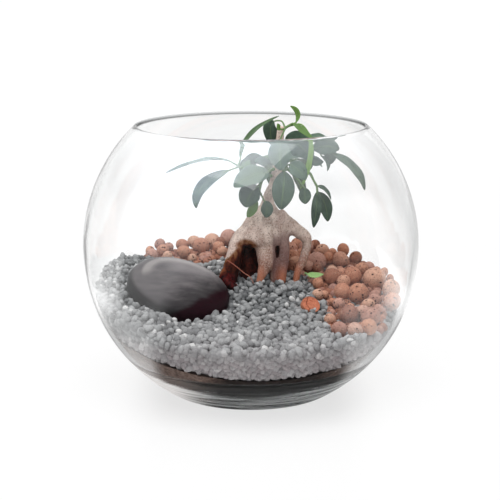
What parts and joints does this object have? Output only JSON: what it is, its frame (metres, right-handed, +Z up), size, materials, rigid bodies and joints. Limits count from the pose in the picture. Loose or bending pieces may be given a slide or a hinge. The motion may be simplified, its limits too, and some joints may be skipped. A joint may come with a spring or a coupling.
{
  "type": "glass plant terrarium",
  "caption": "Open round glass bowl holding a small root-crown fig in sloping grey gravel over dark soil, with fired clay pebbles and a polished dark river stone.",
  "frame": {"origin": "middle of the bowl's flat underside, on the surface it stands on", "axes": "+Z up through the mouth, -Y toward the side seen from the front, +X to that viewer's right"},
  "size_m": [0.25, 0.25, 0.2103],
  "materials": {
    "glass": "clear polished",
    "soil": "dark damp potting soil",
    "gravel": "matte grey angular grains",
    "clay": "matte porous fired clay",
    "stone": "polished, wet look",
    "bark": "rough pinkish bark",
    "leaf": "glossy dark green leaf",
    "pale_leaf": "satin light green leaf"
  },
  "bodies": {
    "root": {"glass_bowl": "glass", "potting_soil": "soil", "gravel_bed": "gravel", "clay_pebbles_right": "clay", "clay_pebbles_back": "clay", "clay_pebble_broken": "clay", "river_stone": "stone", "ficus_trunk": "bark", "ficus_spray_left": "leaf", "ficus_spray_front_left": "leaf", "ficus_spray_front": "leaf", "ficus_spray_top": "leaf", "ficus_spray_right": "leaf", "ficus_spray_right_low": "leaf", "ficus_spray_back_left": "leaf", "ficus_spray_back_right": "leaf", "fallen_leaf": "pale_leaf"}
  },
  "joints": []
}
